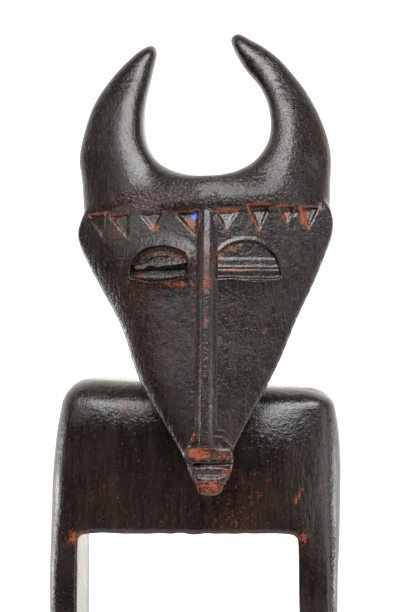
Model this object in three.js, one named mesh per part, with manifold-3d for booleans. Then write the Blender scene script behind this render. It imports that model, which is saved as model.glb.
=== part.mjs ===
// Carved wooden heddle pulley with a horned mask head over a stirrup frame.
// Millimetres, +Z up, the face looks along -Y, and the two feet stand on z = 0.
import * as THREE from 'three';
import { mergeVertices } from 'three/addons/utils/BufferGeometryUtils.js';
import Module from 'manifold-3d';

const wasm = await Module();
wasm.setup();

// The carving is laid out about the stirrup's middle plane, then moved to its own centre.
const centreShift = 6.6;

// Stirrup frame
const stirrup = {
  depth: 28,
  shoulderHeight: 95.9,
  shoulderRound: 4.5,
  topFall: 0.045, // the top runs down this much for each millimetre to the right
  topRise: 0.6, // extra height where the top meets the neck
  topHalf: 26, // and how far to each side that rise runs out
  cornerRound: 3.4,
};
// Outer sides of the stirrup, as [height, across] from the foot to the shoulder.
const stirrupLeft = [
  [0, -30.9], [14, -30.5], [66, -30.4], [78, -30.1], [86, -29.3], [91, -28.4], [96, -27.2],
];
const stirrupRight = [
  [0, 30.5], [14, 30.0], [52, 30.1], [72, 30.7], [82, 30.6], [90, 29.6], [96, 28.2],
];
const opening = {
  left: -24.4,
  rightTop: 21.9,
  rightFoot: 23.2,
  top: 64.9,
  cornerRound: 1.6,
};
const neck = {
  x: 1.5,
  halfWidth: 11,
  front: -11,
  back: 6.8,
  bottom: 90,
  top: 112,
  flare: 1.1,
};

// Head: profiles are [height, value] pairs from the chin up to the brow.
const chinBottom = 74.3;
const browTop = 134.4;
const browRound = 2.4;
const headMiddle = [[74, 3.9], [80, 3.5], [92, 2.9], [134, 2.3]];
const headLeft = [
  [74, 1.6], [77.6, -0.3], [82, -2.2], [93, -8.9], [97, -11.1], [101, -12.8], [105, -14.1],
  [109.5, -16.0], [117.8, -20.7], [124.2, -24.1], [127.5, -25.0], [130.5, -24.4], [134.5, -22.6],
];
const headRight = [
  [74, 5.7], [77.6, 7.2], [82, 8.4], [93, 14.0], [101, 18.2], [109.5, 21.6],
  [117.8, 25.3], [123, 27.4], [127, 28.8], [130.4, 29.1], [134.5, 28.0],
];
const headBack = [
  [74, -21.5], [78, -18.6], [84, -13.5], [92, -4], [100, 3.5], [108, 7], [118, 8.6], [134, 8.2],
];
const backFullness = [[74, 0.8], [112, 0.8], [126, 0.5], [134, 0.42]]; // 1 is round, 0 is square
const face = {
  browY: -16, // front of the face at the height of the eyebrows
  browZ: 131,
  tilt: 0.168, // the face comes forward this much for each millimetre down
  sideFall: 0.25, // and runs back this much for each millimetre to a side
  sideCurve: 1.25,
  leftRound: 2.2,
  frontPoints: 22,
  backPoints: 16,
};

// Horns and crest: one crescent around the gap, in polar stations about its centre.
// Angles are in degrees from straight down, negative on the left.
const gap = { x: 2.3, z: 153.4 };
const innerEdge = [
  [-142, 18.3], [-141.2, 17.4], [-136, 16.1], [-121, 14.1], [-105, 13.4], [-85, 13.5], [-60, 14.4],
  [-45, 14.6], [0, 13.6], [45, 14.4], [68, 14.3], [90, 13.3], [114, 12.6], [138, 12.4],
  [152, 13.7], [159.5, 15.2], [163.4, 16.5],
];
const outerEdge = [
  [-142, 19.0], [-139.5, 19.5], [-134, 20.0], [-124, 20.7], [-110, 22.1], [-97, 24], [-82, 26.5],
  [-70, 29.1], [-60, 30.7], [-50, 34.0], [-44, 36.5], [-25, 29.6], [0, 27], [25, 29.6],
  [44, 36.5], [50, 33.8], [61, 30], [69, 28.4], [90, 23.7], [111, 20.5], [127, 19.3],
  [150, 18.5], [160, 18.6], [163.4, 17.6],
];
const hornFront = [
  [-142, 0.4], [-138, -1.6], [-120, -3.4], [-90, -6.8], [-55, -9.6], [-25, -12.2], [0, -13],
  [25, -12.2], [55, -9.6], [90, -6.8], [120, -3.8], [150, -2.2], [160, -1.2], [163.4, 0.4],
];
const hornBack = [
  [-142, 1.8], [-138, 3.6], [-120, 4.6], [-90, 5.4], [-55, 6.6], [0, 8], [55, 6.6], [90, 5.4],
  [120, 4.6], [150, 4], [160, 3.4], [163.4, 1.8],
];
const crescent = {
  stations: 56,
  sides: 24,
  ridgeTowardsGap: 0.35,
  closerAtTips: 0.06,
};

// Nose: a straight ridge from the brow to the lip, with a flared end.
const nose = {
  x: 3.05,
  top: 133,
  bottom: 83.7,
  frontHalf: 1.1,
  footHalf: 2.1,
  proudTop: 1.3,
  proudBottom: 3.2,
  flareFrom: 88,
  flareLeft: 3.9,
  flareRight: 5.6,
  edgeRound: 0.3,
  rooted: 3, // how far the ridge reaches back into the face
};

// Lips and chin: a profile of [height, distance proud of the face], from the chin up.
const mouthProfile = [
  [74.3, 0.9], [77.2, 1.4], [78.0, 0.5], [78.3, 0.6], [79.0, 1.6], [79.8, 1.0], [80.1, -0.6],
  [80.6, -0.4], [80.9, 1.7], [83.7, 1.3],
];
const mouthBack = -21.6;
const mouthOutline = [
  [1.9, 74.3], [5.9, 74.3], [8.5, 79.2], [8.8, 81], [8.4, 83.7], [0.2, 83.7], [-1.4, 81.6],
  [0.3, 79.8], [0.4, 78.6],
];

// Eyes: half-round sockets with a heavy lid in each.
const eyes = [
  { x: -7.1, halfWidth: 6.1, corner: 119.4, height: 5.1, sag: 1.4, lidZ: 121.3, lidHalf: 1.25 },
  { x: 11.5, halfWidth: 6.5, corner: 119.4, height: 6.5, sag: 1.4, lidZ: 120.6, lidHalf: 1.2 },
];
const socket = {
  depth: 1.3,
  floorScale: 0.86, // the floor is this much of the mouth, so the walls slope
  mouthScale: 1.04,
};
const lid = {
  widthShare: 0.93, // of the socket's width
  proud: 1.5,
  sunk: 0.98,
};

// Brow: a row of chip-cut triangles, each with a level top edge and a point below it.
const triangles = [
  { left: -22.2, right: -18.2, point: -18.9, top: 131.9, bottom: 126.2 },
  { left: -17.6, right: -13.2, point: -14.1, top: 131.9, bottom: 126.2 },
  { left: -11.3, right: -6.3, point: -8.2, top: 131.9, bottom: 128.0 },
  { left: -3.4, right: 1.3, point: 0.6, top: 132.0, bottom: 127.0 },
  { left: 4.9, right: 9.5, point: 6.9, top: 132.1, bottom: 128.1 },
  { left: 11.2, right: 16.0, point: 13.7, top: 132.2, bottom: 128.0 },
  { left: 17.7, right: 21.0, point: 19.8, top: 132.2, bottom: 129.5 },
  { left: 22.2, right: 26.1, point: 23.9, top: 132.2, bottom: 128.5 },
];
const chipDepth = 1.1;

const darkWood = new THREE.MeshStandardMaterial({ color: 0x241a16, roughness: 0.38, metalness: 0 });

// Smooth value of a profile of [place, value] pairs.
function valueAt(points, place) {
  const last = points.length - 1;
  if (place <= points[0][0]) return points[0][1];
  if (place >= points[last][0]) return points[last][1];
  let i = 0;
  while (place > points[i + 1][0]) i += 1;
  const slope = (k) => {
    const before = points[Math.max(k - 1, 0)];
    const after = points[Math.min(k + 1, last)];
    return (after[1] - before[1]) / (after[0] - before[0]);
  };
  const [x0, y0] = points[i];
  const [x1, y1] = points[i + 1];
  const width = x1 - x0;
  const t = (place - x0) / width;
  const eased = t * t * (3 - 2 * t);
  const bend = width * t * (1 - t) * ((1 - t) * slope(i) - t * slope(i + 1));
  return y0 + (y1 - y0) * eased + bend;
}

// Closed geometry through rings of equal length, with a flat or fanned cap at both ends.
function loft(rings) {
  const count = rings[0].length;
  const centre = (ring) => ring.reduce((sum, p) => sum.add(p), new THREE.Vector3()).divideScalar(count);
  const points = [...rings.flat(), centre(rings[0]), centre(rings[rings.length - 1])];
  const startCentre = points.length - 2;
  const endCentre = points.length - 1;
  const lastRing = (rings.length - 1) * count;
  const index = [];
  for (let side = 0; side < count; side += 1) {
    const next = (side + 1) % count;
    index.push(startCentre, next, side);
    index.push(endCentre, lastRing + side, lastRing + next);
    for (let ring = 0; ring < rings.length - 1; ring += 1) {
      const a = ring * count + side;
      const b = ring * count + next;
      index.push(a, b, b + count);
      index.push(a, b + count, a + count);
    }
  }
  const geometry = new THREE.BufferGeometry();
  geometry.setFromPoints(points);
  geometry.setIndex(index);
  return geometry;
}

// Solid for joining and cutting, turned the right way out whichever way its rings ran.
function solid(geometry) {
  const bare = geometry.clone();
  bare.deleteAttribute('normal');
  bare.deleteAttribute('uv');
  const merged = mergeVertices(bare, 1e-4);
  const triVerts = Uint32Array.from(merged.index.array);
  const vertProperties = Float32Array.from(merged.attributes.position.array);
  if (signedVolume(vertProperties, triVerts) < 0) triVerts.reverse();
  return new wasm.Manifold(new wasm.Mesh({ numProp: 3, vertProperties, triVerts }));
}

function signedVolume(positions, triangleCorners) {
  const corner = (i) => new THREE.Vector3().fromArray(positions, triangleCorners[i] * 3);
  let volume = 0;
  for (let i = 0; i < triangleCorners.length; i += 3) {
    volume += corner(i).dot(corner(i + 1).cross(corner(i + 2))) / 6;
  }
  return volume;
}

// Geometry of a joined solid, for its mesh.
function geometryOf(manifold) {
  const mesh = manifold.getMesh();
  const geometry = new THREE.BufferGeometry();
  geometry.setAttribute('position', new THREE.BufferAttribute(mesh.vertProperties, 3));
  geometry.setIndex(new THREE.BufferAttribute(mesh.triVerts, 1));
  geometry.computeVertexNormals();
  return geometry;
}

// Flat outline in x and z, pushed through from one y to another.
function throughCut(shape, fromY, toY) {
  const depth = toY - fromY;
  const geometry = new THREE.ExtrudeGeometry(shape, { depth, bevelEnabled: false, curveSegments: 5 });
  geometry.rotateX(Math.PI / 2);
  geometry.translate(0, toY, 0);
  return geometry;
}

// Rounded rectangle section of the stirrup at one height; inset shrinks it all round.
function stirrupRing(height, inset) {
  const ring = [];
  const cornerSteps = 5;
  const round = stirrup.cornerRound;
  const left = valueAt(stirrupLeft, height) + inset + round;
  const right = valueAt(stirrupRight, height) - inset - round;
  const half = stirrup.depth / 2 - inset - round;
  const corners = [[right, half, 0], [left, half, 1], [left, -half, 2], [right, -half, 3]];
  for (const [x, y, quarter] of corners) {
    for (let step = 0; step <= cornerSteps; step += 1) {
      const angle = (quarter + step / cornerSteps) * (Math.PI / 2);
      const across = x + round * Math.cos(angle);
      ring.push(new THREE.Vector3(across, y + round * Math.sin(angle), height));
    }
  }
  return ring;
}

// Block of the stirrup: tapering sides up to rounded shoulders, with a top that falls to the right.
function stirrupBlock() {
  const { shoulderHeight, shoulderRound, topRise, topHalf, topFall } = stirrup;
  const rings = [];
  const sideSteps = 10;
  const roundSteps = 7;
  const straightTop = shoulderHeight - shoulderRound;
  for (let step = 0; step < sideSteps; step += 1) {
    rings.push(stirrupRing(straightTop * Math.sin((step / sideSteps) * (Math.PI / 2)), 0));
  }
  for (let step = 0; step <= roundSteps; step += 1) {
    const angle = (step / roundSteps) * (Math.PI / 2);
    const inset = shoulderRound * (1 - Math.cos(angle));
    const ring = stirrupRing(straightTop + shoulderRound * Math.sin(angle), inset);
    for (const point of ring) {
      const nearNeck = Math.max(0, 1 - Math.abs(point.x - neck.x) / topHalf);
      point.z += Math.sin(angle) * (topRise * nearNeck - topFall * point.x);
    }
    rings.push(ring);
  }
  return solid(loft(rings));
}

// Window between the legs, open at the bottom.
function openingCut() {
  const { left, rightTop, rightFoot, top, cornerRound } = opening;
  const below = -5;
  const shape = new THREE.Shape();
  shape.moveTo(left, below);
  shape.lineTo(rightFoot, below);
  shape.lineTo(rightTop, top - cornerRound);
  shape.absarc(rightTop - cornerRound, top - cornerRound, cornerRound, 0, Math.PI / 2, false);
  shape.absarc(left + cornerRound, top - cornerRound, cornerRound, Math.PI / 2, Math.PI, false);
  shape.closePath();
  return solid(throughCut(shape, -stirrup.depth, stirrup.depth));
}

// Short oval neck, mostly hidden behind the face.
function neckBlock() {
  const rings = [];
  const levels = 6;
  const sides = 24;
  const middleY = (neck.front + neck.back) / 2;
  const halfDepth = (neck.back - neck.front) / 2;
  for (let level = 0; level <= levels; level += 1) {
    const t = level / levels;
    const waist = 1 + (neck.flare - 1) * (2 * t - 1) ** 2;
    const ring = [];
    for (let side = 0; side < sides; side += 1) {
      const angle = (side / sides) * Math.PI * 2;
      const x = neck.x + neck.halfWidth * waist * Math.cos(angle);
      const y = middleY + halfDepth * waist * Math.sin(angle);
      ring.push(new THREE.Vector3(x, y, neck.bottom + t * (neck.top - neck.bottom)));
    }
    rings.push(ring);
  }
  return solid(loft(rings));
}

// Depth of the bare face at a point across and up.
function faceY(x, z) {
  const middle = valueAt(headMiddle, z);
  const half = x < middle ? middle - valueAt(headLeft, z) : valueAt(headRight, z) - middle;
  const out = Math.min(Math.abs(x - middle) / half, 1);
  const front = face.browY - face.tilt * (face.browZ - z);
  const rounding = x < middle ? face.leftRound * out ** 8 : 0;
  return front + face.sideFall * half * out ** face.sideCurve + rounding * Math.min(half / 20, 1);
}

// Section of the head at one height; inset rounds the brow's top edge.
function headRing(z, inset) {
  const middle = valueAt(headMiddle, z);
  const left = valueAt(headLeft, z) + inset;
  const right = valueAt(headRight, z) - inset;
  const ring = [];
  for (let i = 0; i <= face.frontPoints; i += 1) {
    const across = (i / face.frontPoints) * 2 - 1;
    const x = middle + across * (across < 0 ? middle - left : right - middle);
    ring.push(new THREE.Vector3(x, faceY(x, z) + inset, z));
  }
  const backY = valueAt(headBack, z) - inset;
  const fullness = valueAt(backFullness, z);
  const leftY = ring[0].y;
  const rightY = ring[face.frontPoints].y;
  for (let i = 1; i < face.backPoints; i += 1) {
    const angle = (i / face.backPoints) * Math.PI;
    const across = Math.cos(angle);
    const x = middle + across * (across < 0 ? middle - left : right - middle);
    const edgeY = across < 0 ? leftY : rightY;
    ring.push(new THREE.Vector3(x, edgeY + (backY - edgeY) * Math.sin(angle) ** fullness, z));
  }
  return ring;
}

function headBlock() {
  const levels = 26;
  const rings = [];
  const straightTop = browTop - browRound;
  for (let level = 0; level <= levels; level += 1) {
    rings.push(headRing(chinBottom + (level / levels) * (straightTop - chinBottom), 0));
  }
  const roundSteps = 4;
  for (let step = 1; step <= roundSteps; step += 1) {
    const angle = (step / roundSteps) * (Math.PI / 2);
    const inset = browRound * (1 - Math.cos(angle));
    rings.push(headRing(straightTop + browRound * Math.sin(angle), inset));
  }
  return solid(loft(rings));
}

// Horns and crest in one sweep from tip to tip.
function hornCrescent() {
  const rings = [];
  const first = innerEdge[0][0];
  const last = innerEdge[innerEdge.length - 1][0];
  for (let station = 0; station <= crescent.stations; station += 1) {
    const eased = tipSpacing(station / crescent.stations);
    const degrees = first + (last - first) * eased;
    const angle = THREE.MathUtils.degToRad(degrees);
    const inner = valueAt(innerEdge, degrees);
    const outer = valueAt(outerEdge, degrees);
    const front = valueAt(hornFront, degrees);
    const back = valueAt(hornBack, degrees);
    const ring = [];
    for (let side = 0; side < crescent.sides; side += 1) {
      const turn = (side / crescent.sides) * Math.PI * 2;
      const across = Math.cos(turn) - crescent.ridgeTowardsGap * Math.sin(turn) ** 2;
      const radius = (inner + outer) / 2 + ((outer - inner) / 2) * across;
      const y = (front + back) / 2 + ((back - front) / 2) * Math.sin(turn);
      ring.push(new THREE.Vector3(gap.x + radius * Math.sin(angle), y, gap.z - radius * Math.cos(angle)));
    }
    rings.push(ring);
  }
  return solid(loft(rings));
}

// Even spacing, a little closer together at both tips.
function tipSpacing(t) {
  return t - crescent.closerAtTips * Math.sin(2 * Math.PI * t);
}

function noseRidge() {
  const rings = [];
  const levels = 14;
  for (let level = 0; level <= levels; level += 1) {
    const z = nose.bottom + (level / levels) * (nose.top - nose.bottom);
    const down = (nose.top - z) / (nose.top - nose.bottom);
    const flare = Math.max(0, (nose.flareFrom - z) / (nose.flareFrom - nose.bottom));
    const bare = faceY(nose.x, z);
    const front = bare - (nose.proudTop + (nose.proudBottom - nose.proudTop) * down);
    const left = nose.x - nose.footHalf - (nose.flareLeft - nose.footHalf) * flare;
    const right = nose.x + nose.footHalf + (nose.flareRight - nose.footHalf) * flare;
    const frontHalf = nose.frontHalf * (1 + 0.5 * flare);
    const flatHalf = frontHalf * 0.6;
    rings.push([
      new THREE.Vector3(left, bare + nose.rooted, z),
      new THREE.Vector3(left, bare, z),
      new THREE.Vector3(nose.x - frontHalf, front + nose.edgeRound, z),
      new THREE.Vector3(nose.x - flatHalf, front, z),
      new THREE.Vector3(nose.x + flatHalf, front, z),
      new THREE.Vector3(nose.x + frontHalf, front + nose.edgeRound, z),
      new THREE.Vector3(right, bare, z),
      new THREE.Vector3(right, bare + nose.rooted, z),
    ]);
  }
  return solid(loft(rings));
}

// Lips and chin: the side profile pushed across, trimmed to the outline seen from the front.
function mouthBlock() {
  const side = new THREE.Shape();
  const inside = -14; // well behind the face
  side.moveTo(inside, mouthProfile[0][0]);
  for (const [z, proud] of mouthProfile) {
    side.lineTo(faceY(nose.x, z) - proud, z);
  }
  side.lineTo(inside, mouthProfile[mouthProfile.length - 1][0]);
  side.closePath();
  const reach = 14;
  const across = new THREE.ExtrudeGeometry(side, { depth: 2 * reach, bevelEnabled: false });
  across.applyMatrix4(new THREE.Matrix4().makeBasis(
    new THREE.Vector3(0, 1, 0),
    new THREE.Vector3(0, 0, 1),
    new THREE.Vector3(1, 0, 0),
  ));
  across.translate(nose.x - reach, 0, 0);
  const outline = new THREE.Shape(mouthOutline.map(([x, z]) => new THREE.Vector2(x, z)));
  const trim = solid(throughCut(outline, -34, mouthBack));
  return solid(across).intersect(trim);
}

// Socket cutter with sloping walls, following the face.
function eyeSocket(eye) {
  const outline = [];
  const steps = 14;
  for (let step = 0; step <= steps; step += 1) {
    const angle = (step / steps) * Math.PI;
    const arch = eye.height * Math.sin(angle) ** 0.8;
    outline.push([eye.x + eye.halfWidth * Math.cos(angle), eye.corner + arch]);
  }
  for (let step = 1; step < steps; step += 1) {
    const angle = (step / steps) * Math.PI;
    outline.push([eye.x - eye.halfWidth * Math.cos(angle), eye.corner - eye.sag * Math.sin(angle)]);
  }
  const middleZ = eye.corner + eye.height * 0.3;
  const ringAt = (scale, depth) => outline.map(([x, z]) => {
    const px = eye.x + (x - eye.x) * scale;
    const pz = middleZ + (z - middleZ) * scale;
    return new THREE.Vector3(px, faceY(px, pz) + depth, pz);
  });
  const { mouthScale, floorScale, depth } = socket;
  return solid(loft([ringAt(mouthScale, -4), ringAt(mouthScale, -0.2), ringAt(floorScale, depth)]));
}

// Heavy lid: a flattened lens that lies along the floor of its socket.
function eyeLid(eye) {
  const lens = new THREE.SphereGeometry(1, 20, 10);
  lens.scale(eye.halfWidth * lid.widthShare, lid.proud, eye.lidHalf);
  const slope = faceY(eye.x + 1, eye.lidZ) - faceY(eye.x - 1, eye.lidZ);
  lens.rotateZ(Math.atan2(slope, 2));
  lens.translate(eye.x, faceY(eye.x, eye.lidZ) + lid.sunk, eye.lidZ);
  return solid(lens);
}

// Three-sided chip with its deepest place below the middle of the top edge.
function browChip({ left, right, point, top, bottom }) {
  const corners = [[left, top], [right, top], [point, bottom]];
  const deepX = (left + right + point) / 3;
  const deepZ = top - (top - bottom) * 0.36;
  const deepY = faceY(deepX, deepZ) + chipDepth;
  const mouth = corners.map(([x, z]) => new THREE.Vector3(x, faceY(x, z), z));
  const deepest = new THREE.Vector3(deepX, deepY, deepZ);
  const clearOfFace = mouth.map((corner) => corner.clone().lerp(deepest, -1.2));
  const tip = mouth.map((corner) => deepest.clone().lerp(corner, 0.02));
  return solid(loft([clearOfFace, tip]));
}

function carvedPulley() {
  let body = stirrupBlock().subtract(openingCut());
  for (const piece of [neckBlock(), headBlock(), hornCrescent()]) {
    body = body.add(piece);
  }
  for (const eye of eyes) {
    body = body.subtract(eyeSocket(eye)).add(eyeLid(eye));
  }
  for (const triangle of triangles) {
    body = body.subtract(browChip(triangle));
  }
  return body.add(noseRidge()).add(mouthBlock());
}

const pulley = new THREE.Mesh(geometryOf(carvedPulley()), darkWood);
pulley.name = 'carved_pulley';
pulley.position.set(0, centreShift, 0);

const part = new THREE.Group();
part.add(pulley);

export default part;
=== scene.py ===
import bpy
import bmesh
import math
import numpy as np
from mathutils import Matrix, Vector, noise


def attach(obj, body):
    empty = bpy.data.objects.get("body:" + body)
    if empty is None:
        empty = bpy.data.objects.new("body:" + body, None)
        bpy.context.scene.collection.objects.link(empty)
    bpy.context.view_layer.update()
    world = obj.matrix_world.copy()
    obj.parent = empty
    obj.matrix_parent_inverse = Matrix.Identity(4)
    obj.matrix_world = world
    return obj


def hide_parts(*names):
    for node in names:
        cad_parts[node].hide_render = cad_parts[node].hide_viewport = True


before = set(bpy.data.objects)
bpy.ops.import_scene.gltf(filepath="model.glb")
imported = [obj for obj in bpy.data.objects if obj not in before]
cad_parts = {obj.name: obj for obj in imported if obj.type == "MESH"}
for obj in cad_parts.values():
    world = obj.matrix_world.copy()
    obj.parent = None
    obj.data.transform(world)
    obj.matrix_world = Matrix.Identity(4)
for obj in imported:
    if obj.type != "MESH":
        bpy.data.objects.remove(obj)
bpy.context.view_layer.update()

# Carved wooden heddle pulley: a horned mask head over a stirrup frame, all one block of wood.
# The sizes in the dictionaries are millimetres, with the face looking along -Y.
mm = 0.001


# Small tools

def valueAt(points, place):  # smooth line through pairs of place and value
    places, values = np.array(points, float).T
    last = len(places) - 1
    before = np.maximum(np.arange(last + 1) - 1, 0)
    after = np.minimum(np.arange(last + 1) + 1, last)
    slopes = (values[after] - values[before]) / (places[after] - places[before])
    spot = np.clip(place, places[0], places[-1])
    i = np.clip(np.searchsorted(places, spot, side="right") - 1, 0, last - 1)
    width = places[i + 1] - places[i]
    t = (spot - places[i]) / width
    eased = t * t * (3 - 2 * t)
    bend = width * t * (1 - t) * ((1 - t) * slopes[i] - t * slopes[i + 1])
    return values[i] + (values[i + 1] - values[i]) * eased + bend


def ease(start, end, value):
    t = np.clip((value - start) / (end - start), 0, 1)
    return t * t * (3 - 2 * t)


def roundedLoop(points, steps=6):  # closed curve through a few points
    spots = np.array(points, float)
    before, after, beyond = np.roll(spots, 1, 0), np.roll(spots, -1, 0), np.roll(spots, -2, 0)
    parts = [spots + 0.5 * ((after - before) * t + (2 * before - 5 * spots + 4 * after - beyond) * t ** 2
                            + (3 * spots - before - 3 * after + beyond) * t ** 3)
             for t in np.linspace(0, 1, steps, endpoint=False)]
    return np.stack(parts, 1).reshape(-1, 2)


def awayFrom(start, end, x, z):  # distance to a straight line between two points
    (ax, az), (bx, bz) = start, end
    dx, dz = bx - ax, bz - az
    t = np.clip(((x - ax) * dx + (z - az) * dz) / (dx * dx + dz * dz), 0, 1)
    return np.hypot(x - ax - t * dx, z - az - t * dz)


def depthInside(loop, x, z):  # distance to a closed line, above zero inside it
    loop = np.array(loop, float)
    nearest = np.full(x.shape, 1e3)
    inside = np.zeros(x.shape, bool)
    for start, end in zip(loop, np.roll(loop, -1, 0)):
        nearest = np.minimum(nearest, awayFrom(start, end, x, z))
        if start[1] != end[1]:
            across = start[0] + (end[0] - start[0]) * (z - start[1]) / (end[1] - start[1])
            inside ^= ((start[1] > z) != (end[1] > z)) & (x < across)
    return np.where(inside, nearest, -nearest)


def waves(points, length, stretch=1.0, shift=0.0):  # soft noise, one value for each point
    size = Vector((1 / length, 1 / length, 1 / (length * stretch)))
    away = Vector((shift, shift * 0.7, shift * 1.3))
    return np.array([noise.noise(Vector(point) * size + away) for point in points])


def loftRings(shape, rings):  # rings of equal length, capped at both ends
    ring = bmesh.ops.create_circle(shape, cap_ends=True, radius=1, segments=len(rings[0]))["verts"]
    slots = {vert: k for k, vert in enumerate(ring)}
    for vert, k in slots.items():
        vert.co = rings[0][k]
    edges = {edge for vert in ring for edge in vert.link_edges}
    for points in rings[1:]:
        grown = bmesh.ops.extrude_edge_only(shape, edges=list(edges))["geom"]
        grownSlots = {}
        for vert in [item for item in grown if isinstance(item, bmesh.types.BMVert)]:
            below = next(e.other_vert(vert) for e in vert.link_edges if e.other_vert(vert) in slots)
            grownSlots[vert] = slots[below]
        edges = {item for item in grown if isinstance(item, bmesh.types.BMEdge)
                 and item.verts[0] in grownSlots and item.verts[1] in grownSlots}
        for vert, k in grownSlots.items():
            vert.co = points[k]
        slots = grownSlots
    bmesh.ops.contextual_create(shape, geom=list(edges))


def newObject(name, shape):
    bmesh.ops.recalc_face_normals(shape, faces=shape.faces)
    mesh = bpy.data.meshes.new(name)
    shape.to_mesh(mesh)
    shape.free()
    piece = bpy.data.objects.new(name, mesh)
    bpy.context.scene.collection.objects.link(piece)
    return piece


def applyModifiers(piece):
    graph = bpy.context.evaluated_depsgraph_get()
    finished = bpy.data.meshes.new_from_object(piece.evaluated_get(graph))
    piece.modifiers.clear()
    old = piece.data
    piece.data = finished
    bpy.data.meshes.remove(old)


# Stirrup: the square-shouldered frame that the bobbin hangs in

stirrup = {
    "centreY": 6.6,  # the carving is laid out about the stirrup, then moved to its own middle
    "depth": 28,
    "top": 95.9,
    "round": 4.5,
    "fall": 0.045,  # the top runs down to the right
    "rise": 0.6,  # and up a little to the neck
    "riseHalf": 26,
    "corner": 3.4,
    "left": [(-3, -30.9), (14, -30.5), (66, -30.4), (78, -30.1), (86, -29.3), (91, -28.4), (96, -27.2)],
    "right": [(-3, 30.5), (14, 30.0), (52, 30.1), (72, 30.7), (82, 30.6), (90, 29.6), (96, 28.2)],
    "below": -3,  # the legs are made long, then sawn off flat
}

window = {"left": -24.4, "right": 22.5, "top": 64.9, "corner": 1.6, "lean": 0.65}

neck = {"x": 1.5, "halfWidth": 11, "front": -11, "back": 6.8, "bottom": 90, "top": 112, "flare": 1.1}


def stirrupRing(height, inset):
    corner = stirrup["corner"]
    left = valueAt(stirrup["left"], height) + inset + corner
    right = valueAt(stirrup["right"], height) - inset - corner
    half = stirrup["depth"] / 2 - inset - corner
    points = []
    for x, y, quarter in ((right, half, 0), (left, half, 1), (left, -half, 2), (right, -half, 3)):
        for step in range(9):
            angle = (quarter + step / 8) * math.pi / 2
            points.append(Vector((x + corner * math.cos(angle), y + corner * math.sin(angle), height)))
    return points


def stirrupBlank():
    straightTop = stirrup["top"] - stirrup["round"]
    heights = np.linspace(stirrup["below"], straightTop, 24)[:-1]
    rings = [stirrupRing(height, 0) for height in heights]
    for step in range(13):
        angle = step / 12 * math.pi / 2
        inset = stirrup["round"] * (1 - math.cos(angle))
        ring = stirrupRing(straightTop + stirrup["round"] * math.sin(angle), inset)
        for point in ring:
            nearNeck = max(0, 1 - abs(point.x - neck["x"]) / stirrup["riseHalf"])
            point.z += math.sin(angle) * (stirrup["rise"] * nearNeck - stirrup["fall"] * point.x)
        rings.append(ring)
    shape = bmesh.new()
    loftRings(shape, rings)
    return newObject("stirrupBlank", shape)


def windowCutter():
    shape = bmesh.new()
    bmesh.ops.create_cube(shape, size=1)
    low = stirrup["below"] - 4
    width = window["right"] - window["left"]
    bmesh.ops.scale(shape, vec=(width, stirrup["depth"] * 2, window["top"] - low), verts=shape.verts)
    middle = (window["left"] + window["right"]) / 2
    bmesh.ops.translate(shape, vec=(middle, 0, (window["top"] + low) / 2), verts=shape.verts)
    for vert in shape.verts:
        if vert.co.x > 0:
            vert.co.x += window["lean"] if vert.co.z < 0 else -window["lean"]
    corners = [e for e in shape.edges if all(v.co.z > 0 for v in e.verts)
               and abs(e.verts[0].co.x - e.verts[1].co.x) < 0.1]
    bmesh.ops.bevel(shape, geom=corners, offset=window["corner"], segments=5, profile=0.5,
                    affect="EDGES", material=-1)
    return newObject("windowCutter", shape)


def neckRings():
    middleY = (neck["front"] + neck["back"]) / 2
    halfDepth = (neck["back"] - neck["front"]) / 2
    rings = []
    for t in np.linspace(0, 1, 13):
        waist = 1 + (neck["flare"] - 1) * (2 * t - 1) ** 2
        ring = []
        for angle in np.linspace(0, math.tau, 48, endpoint=False):
            x = neck["x"] + neck["halfWidth"] * waist * math.cos(angle)
            y = middleY + halfDepth * waist * math.sin(angle)
            ring.append(Vector((x, y, neck["bottom"] + t * (neck["top"] - neck["bottom"]))))
        rings.append(ring)
    return rings


# Head: a long face that leans forward, with its brow under the crest

head = {
    "chin": 73.9,
    "brow": 136.6,
    "browRound": 4.2,
    "middle": [(74, 3.9), (80, 3.5), (92, 2.9), (134, 2.3)],
    "left": [(74, 1.6), (77.6, -0.3), (82, -2.2), (93, -8.9), (97, -11.1), (101, -12.8), (105, -14.1),
             (109.5, -16.0), (117.8, -20.7), (124.2, -24.1), (127.5, -25.0), (130.5, -24.4), (134.5, -22.6)],
    "right": [(74, 5.7), (77.6, 7.2), (82, 8.4), (93, 14.0), (101, 18.2), (109.5, 21.6),
              (117.8, 25.3), (123, 27.4), (127, 28.8), (130.4, 29.1), (134.5, 28.0)],
    "back": [(74, -21.5), (78, -18.6), (84, -13.5), (92, -4), (100, 3.5), (108, 7), (118, 8.6),
             (134, 8.2)],
    "fullness": [(74, 1.5), (96, 1.5), (108, 1.0), (118, 0.7), (126, 0.5), (134, 0.42)],
    "browY": -16,
    "browZ": 131,
    "tilt": 0.168,  # the face comes forward this much for each millimetre down
    "sideFall": 0.25,
    "sideCurve": 1.25,
    "leftRound": 2.6,
}


def faceY(x, z):  # depth of the bare face, for numbers or arrays
    middle = valueAt(head["middle"], z)
    half = np.where(x < middle, middle - valueAt(head["left"], z), valueAt(head["right"], z) - middle)
    out = np.minimum(np.abs(x - middle) / half, 1)
    front = head["browY"] - head["tilt"] * (head["browZ"] - z)
    rounding = np.where(x < middle, head["leftRound"] * out ** 5, 0) * np.minimum(half / 20, 1)
    return front + head["sideFall"] * half * out ** head["sideCurve"] + rounding


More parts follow.
